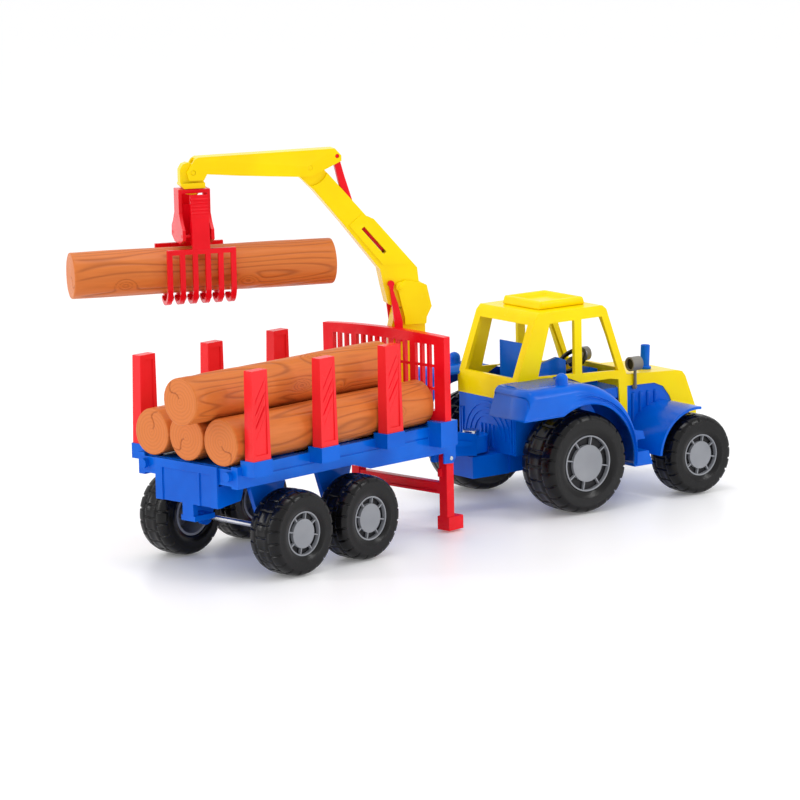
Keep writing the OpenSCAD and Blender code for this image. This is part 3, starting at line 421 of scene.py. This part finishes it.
for hub_node, joint_name in (("hubs_t1", "axle_rear_spin"), ("hubs_t2", "axle_front_spin"),
                             ("hubs_r", "big_wheels_spin"), ("hubs_f", "small_wheels_spin")):
    centre, axis = axle_frame(joint_name)
    hub_along, hub_out = along_and_out(node_points(hub_node), centre, axis)
    face, rim = np.abs(hub_along).max(), hub_out.max()

    # Selects the pocket floors between the spokes, which get the painted shade.
    def pocket(co, normal, centre=centre, axis=axis, face=face, rim=rim):
        along, out = along_and_out(co, centre, axis)
        outward = (normal @ axis) * np.sign(along)
        between = (out > 0.5 * rim) & (out < 0.97 * rim)
        return (np.abs(along) < face - 0.0012) & between & (outward > 0.5)
    paint(hub_node, painted_shade_black, pocket)

# ---------------------------------------------------------------- lamps
# Two grey cup lamps stand on thin stalks, one at each side of the hood. The cup behind the rim
# gets a near-black material as painted shade. Rim, cup and stalk are one moulding.
lamp_grey = moulded_plastic("lamp_grey", (0.15, 0.14, 0.125), (0.24, 0.23, 0.21),
                            (0.4, 0.39, 0.36), 0.3)
ahead = np.cross(axle_frame("big_wheels_spin")[1], (0, 0, 1))
ahead = ahead / np.linalg.norm(ahead) * (1 if ahead[0] > 0 else -1)
dress("lamps", lamp_grey)
lamp_along = node_points("lamps") @ ahead

# Selects the cup faces behind the rim, which get the painted shade.
def cup(co, normal):
    depth = co @ ahead
    return (normal @ ahead < -0.9) & (depth > lamp_along.min() + 0.001) & (co[:, 2] > 0.115)
paint("lamps", painted_shade_black, cup)

# ---------------------------------------------------------------- rear fenders
# Blue moulded shells over the big wheels: a flat shelf with a round edge, an arch that runs down
# in front of the tyre with two raised beads on its wall, and a knob on the shelf.
heading = math.atan2(ahead[1], ahead[0])
def tractor_point(x, y, z):
    return (hitch.x + math.cos(heading) * x - math.sin(heading) * y,
            hitch.y + math.sin(heading) * x + math.cos(heading) * y, z)

def make_fender(name, side):
    inner_y, outer_y, bead_height = 0.044, 0.098, 0.0019
    arch_x, arch_z, arch_r = 0.065, 0.049, 0.057
    crown_x, crown_z, crown_r = 0.054, 0.052, 0.074
    over, under = [], []
    for t in np.linspace(0, 1, 10):
        over.append((-0.012 + 0.008 * t, 0.098 + 0.022 * t))
        under.append((-0.0118 + 0.006 * t, 0.0978))
    for t in np.linspace(0.15, 1, 8):
        turn = math.radians(180 - 70 * t)
        over.append((0.003 + 0.008 * math.cos(turn), 0.118 + 0.008 * math.sin(turn)))
        under.append((-0.0058 + 0.006 * t, 0.0978))
    for t in np.linspace(0, 1, 14):
        over.append((0.004 + 0.05 * t, 0.126))
        under.append((0.002 + 0.034 * t, 0.0978 + 0.0002 * t))
    for t in np.linspace(0.012, 1, 64):
        turn = math.radians(90 - 99.3 * t)
        over.append((crown_x + crown_r * math.cos(turn), crown_z + crown_r * math.sin(turn)))
        turn = math.radians(120.7 - 129.9 * t)
        under.append((arch_x + arch_r * math.cos(turn), arch_z + arch_r * math.sin(turn)))
    over, under = np.array(over), np.array(under)
    rows = []
    for i, (o, u) in enumerate(zip(over, under)):
        span = np.linalg.norm(u - o)
        inwards = (u - o) / max(span, 1e-6)
        soft = min(0.009, 0.45 * span)
        wall = min(0.003, 0.2 * span + 0.0002)
        loop = [(o, inner_y)]
        for turn in np.linspace(0, math.pi / 2, 9):
            loop.append((o + inwards * soft * (1 - math.cos(turn)),
                         outer_y - soft * (1 - math.sin(turn))))
        bead = smooth_step(i, 32, 44)
        for q in np.linspace(0.02, 0.96, 52):
            lift = bead_height * bead * sum(math.exp(-((q - at) / 0.045) ** 4) for at in (0.16, 0.42))
            lift += 0.0012 * math.exp(-((q - 0.97) / 0.05) ** 2)
            loop.append((o + inwards * (soft + (span - soft) * q), outer_y + lift))
        loop.append((u, outer_y + 0.0008))
        loop.append((u, outer_y - wall))
        loop.append((o + inwards * wall * 1.2, outer_y - wall - soft * 0.4))
        loop.append((o + inwards * wall, inner_y))
        rows.append([tractor_point(p[0], side * y, p[1]) for p, y in loop])
    piece = grid_piece(name + "_shell", np.array(rows), blue_shell, "tractor", (name,),
                       closed_rows=False)
    built = bmesh.new()
    built.from_mesh(piece.data)
    bmesh.ops.holes_fill(built, edges=[e for e in built.edges if e.is_boundary])
    bmesh.ops.recalc_face_normals(built, faces=built.faces)
    built.to_mesh(piece.data)
    built.free()
    turn = np.linspace(0, 2 * math.pi, 40, endpoint=False)
    dome = [(0.006 * math.cos(a), 0.131 + 0.006 * math.sin(a)) for a in np.linspace(0.05, 1.5, 9)]
    profile = [(0.0066, 0.1258), (0.0062, 0.1275), (0.006, 0.13)] + dome + [(0.00001, 0.137)]
    knob = np.array([[tractor_point(0.045 + r * math.cos(a), side * (0.084 + r * math.sin(a)), z)
                      for a in turn] for r, z in profile])
    grid_piece(name + "_knob", knob, blue_shell, "tractor", closed_rows=False)

make_fender("fender_l", 1)
make_fender("fender_r", -1)

# ---------------------------------------------------------------- logs
# Five moulded logs in brown plastic. Flowing grain is cut into the skin and bends round knots;
# the sawn ends show rings and a drying crack, and all these cuts are darkened as painted shade.
# They lie loose, so nothing fixes them.
log_radius = 0.022
groove_depth, ring_depth, crack_depth = 0.00042, 0.00028, 0.0009

def log_grain(x, y, s, seed):
    rng = np.random.default_rng(seed)
    field = np.zeros_like(x)
    for k in range(14):
        across = rng.normal(0, 1, 2)
        along = rng.normal(0, 1) * (9.0 if k < 9 else 26.0)
        size = 1.0 if k < 5 else 0.45
        pace = 62.0 if k < 5 else 120.0
        field += size * np.sin(pace * (across[0] * x + across[1] * y) + along * s
                               + rng.uniform(0, 6.28))
    return field

def make_log(name, start, axis, length, seed, body, spin=0.0):
    around, along = 224, 200
    rng = np.random.default_rng(seed + 50)
    theta = np.linspace(0, 2 * math.pi, around, endpoint=False)
    edge = 0.0016
    s = np.linspace(0, length, along)
    s = np.concatenate([[0.0004], [0.0012], s[1:-1], [length - 0.0012], [length - 0.0004]])
    tt, ss = np.meshgrid(theta, s)
    cx, cy = np.cos(tt), np.sin(tt)
    field = log_grain(cx * log_radius, cy * log_radius, ss, seed)
    knots = [(rng.uniform(0, 6.28), rng.uniform(0.12, 0.88) * length) for _ in range(5)]
    for kt, ks in knots:
        dt = np.angle(np.exp(1j * (tt - kt))) * log_radius
        d2 = (dt / 0.0052) ** 2 + ((ss - ks) / 0.0085) ** 2
        field += 3.2 * np.exp(-d2)
    # Profile of the cut grain: it sets the depth of the grooves and the painted shade in them.
    groove_and_shade = (0.5 + 0.5 * np.cos(2 * math.pi * field * 0.95)) ** 7
    ends = np.minimum(ss, length - ss)
    fade = np.clip((ends - 0.002) / 0.006, 0, 1)
    wave = 0.0004 * np.sin(3 * tt + seed) + 0.0003 * np.sin(2 * tt + ss * 40 + seed)
    radius = log_radius - 0.0006 + wave * 0.7 - groove_depth * groove_and_shade * (0.35 + 0.65 * fade)
    rim = np.clip(ends / edge, 0, 1)
    radius -= 0.8 * edge * (1 - np.sqrt(np.clip(1 - (1 - rim) ** 2, 0, 1)))
    verts = np.stack([ss, radius * cx, radius * cy], -1).reshape(-1, 3)
    # Painted shade: darkness laid along the cut grain grooves, weaker near the ends.
    shade = (groove_and_shade * 0.85 * (0.3 + 0.7 * fade)).reshape(-1)
    kind = np.zeros(len(verts))
    rows = len(s)
    faces = []
    for i in range(rows - 1):
        for j in range(around):
            k = (j + 1) % around
            faces.append((i * around + j, i * around + k, (i + 1) * around + k, (i + 1) * around + j))
    all_v, all_s, all_k = [verts], [shade], [kind]
    count = len(verts)
    for end in (0, 1):
        base = 0 if end == 0 else (rows - 1) * around
        edge_r = radius[0 if end == 0 else -1]
        at = 0.0 if end == 0 else length
        sign = 1 if end == 0 else -1
        ring_n = 26
        prev = [base + j for j in range(around)]
        crack = rng.uniform(0, 6.28)
        for r in range(1, ring_n):
            f = 1 - r / ring_n
            wob = 1 + 0.05 * np.sin(2 * theta + seed + end) * (1 - f)
            rr = edge_r * f * wob
            rings = 0.5 + 0.5 * np.cos(2 * math.pi * (f * wob * 6.5 + 0.12 * np.sin(3 * theta + seed)))
            from_crack = np.angle(np.exp(1j * (theta - crack - 0.25 * np.sin(f * 7)))) * rr
            cut = np.exp(-(from_crack / 0.0007) ** 2) * (f > 0.12)
            rings = rings ** 3 * (f < 0.93)
            depth = ring_depth * rings + crack_depth * cut * min(1, f * 2) + 0.0001
            vv = np.stack([at + sign * depth, rr * np.cos(theta), rr * np.sin(theta)], -1)
            all_v.append(vv)
            # Painted shade in the end rings and the drying crack.
            all_s.append(np.clip(rings * 0.32 + cut, 0, 1))
            all_k.append(np.ones(around))
            cur = [count + j for j in range(around)]
            for j in range(around):
                k = (j + 1) % around
                q = (prev[j], cur[j], cur[k], prev[k])
                faces.append(q if end == 0 else q[::-1])
            prev = cur
            count += around
        # The centre point of each sawn end also gets painted shade.
        all_v.append(np.array([[at + sign * 0.0003, 0, 0]]))
        all_s.append(np.array([0.6]))
        all_k.append(np.ones(1))
        for j in range(around):
            k = (j + 1) % around
            q = (prev[j], count, prev[k])
            faces.append(q if end == 0 else q[::-1])
        count += 1
    mesh = bpy.data.meshes.new(name)
    mesh.from_pydata([tuple(v) for v in np.concatenate(all_v)], [], faces)
    mesh.polygons.foreach_set("use_smooth", [True] * len(mesh.polygons))
    # Carries the painted shade of the grooves, rings and crack to the material.
    attr = mesh.attributes.new("groove_and_shade", "FLOAT", "POINT")
    attr.data.foreach_set("value", np.concatenate(all_s).astype(np.float32))
    attr = mesh.attributes.new("sawn", "FLOAT", "POINT")
    attr.data.foreach_set("value", np.concatenate(all_k).astype(np.float32))
    mesh.validate()
    piece = bpy.data.objects.new(name, mesh)
    scene.collection.objects.link(piece)
    axis = Vector(axis).normalized()
    side = Vector((0, 0, 1)).cross(axis).normalized()
    top = axis.cross(side)
    turn = Matrix((axis, side, top)).transposed().to_4x4() @ Matrix.Rotation(spin, 4, "X")
    turn.translation = Vector(start)
    local = mesh.attributes.new("along_log", "FLOAT_VECTOR", "POINT")
    shifted = np.concatenate(all_v) + np.array([seed * 0.1, 0, 0])
    local.data.foreach_set("vector", shifted.astype(np.float32).ravel())
    mesh.transform(turn)
    piece.data.materials.append(log_brown)
    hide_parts(name.replace("loose_", ""))
    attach(piece, body)

def bark_material():
    mat = bpy.data.materials.new("log_brown")
    mat.use_nodes = True
    t = mat.node_tree
    shader = t.nodes["Principled BSDF"]
    skin = add(t, "ShaderNodeGroup", (-1100, -200), node_tree=moulded_skin)
    skin.inputs["Mottle Scale"].default_value = 14
    skin.inputs["Peel Scale"].default_value = 700
    coord = add(t, "ShaderNodeAttribute", (-1300, 300), attribute_name="along_log")
    stretch = add(t, "ShaderNodeMapping", (-1100, 300))
    stretch.inputs["Scale"].default_value = (26, 330, 330)
    wire(t, coord.outputs["Vector"], stretch.inputs["Vector"])
    streak = add(t, "ShaderNodeTexNoise", (-900, 300))
    streak.inputs["Scale"].default_value = 1.0
    streak.inputs["Detail"].default_value = 5
    wire(t, stretch.outputs["Vector"], streak.inputs["Vector"])
    base = add(t, "ShaderNodeMix", (-650, 300), data_type="RGBA")
    base.inputs[6].default_value = (0.56, 0.145, 0.026, 1)
    base.inputs[7].default_value = (0.74, 0.215, 0.044, 1)
    wire(t, streak.outputs["Fac"], base.inputs[0])
    sawn = add(t, "ShaderNodeAttribute", (-900, 0), attribute_name="sawn")
    groove_and_shade = add(t, "ShaderNodeAttribute", (-900, -100), attribute_name="groove_and_shade")
    face = add(t, "ShaderNodeMix", (-450, 300), data_type="RGBA")
    face.inputs[7].default_value = (0.70, 0.20, 0.045, 1)
    wire(t, sawn.outputs["Fac"], face.inputs[0])
    wire(t, base.outputs[2], face.inputs[6])
    # Darkens the wood where the cut grooves, rings and crack lie: painted shade.
    dark = add(t, "ShaderNodeMix", (-250, 300), data_type="RGBA")
    dark.inputs[7].default_value = (0.22, 0.045, 0.010, 1)
    depth = add(t, "ShaderNodeMath", (-450, 50), operation="MULTIPLY")
    depth.inputs[1].default_value = 0.55
    wire(t, groove_and_shade.outputs["Fac"], depth.inputs[0])
    wire(t, depth.outputs[0], dark.inputs[0])
    wire(t, face.outputs[2], dark.inputs[6])
    wire(t, dark.outputs[2], shader.inputs["Base Color"])
    rough = add(t, "ShaderNodeMapRange", (-300, -150))
    rough.inputs["To Min"].default_value = 0.32
    rough.inputs["To Max"].default_value = 0.46
    shader.inputs["Specular IOR Level"].default_value = 0.25
    wire(t, skin.outputs["Mottle"], rough.inputs["Value"])
    wire(t, rough.outputs["Result"], shader.inputs["Roughness"])
    bump = add(t, "ShaderNodeBump", (-300, -350))
    bump.inputs["Strength"].default_value = 0.45
    bump.inputs["Distance"].default_value = 0.0006
    wire(t, streak.outputs["Fac"], bump.inputs["Height"])
    wire(t, bump.outputs["Normal"], shader.inputs["Normal"])
    return mat

log_brown = bark_material()
for number, (name, body) in enumerate([("log_1", "log_left"), ("log_2", "log_middle"),
                                       ("log_3", "log_right"), ("log_4", "log_top")]):
    low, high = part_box(name)
    make_log("loose_" + name, (low.x, (low.y + high.y) / 2, (low.z + high.z) / 2), (1, 0, 0),
             high.x - low.x, 3 + number * 7, body, spin=number * 1.3)
reach = Vector(joint["held_log_slide"]["axis"])
low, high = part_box("log_held")
middle = (low + high) / 2
held_length = 0.248
make_log("loose_log_held", middle - reach * held_length / 2, reach, held_length, 41, "log_held",
         spin=0.6)
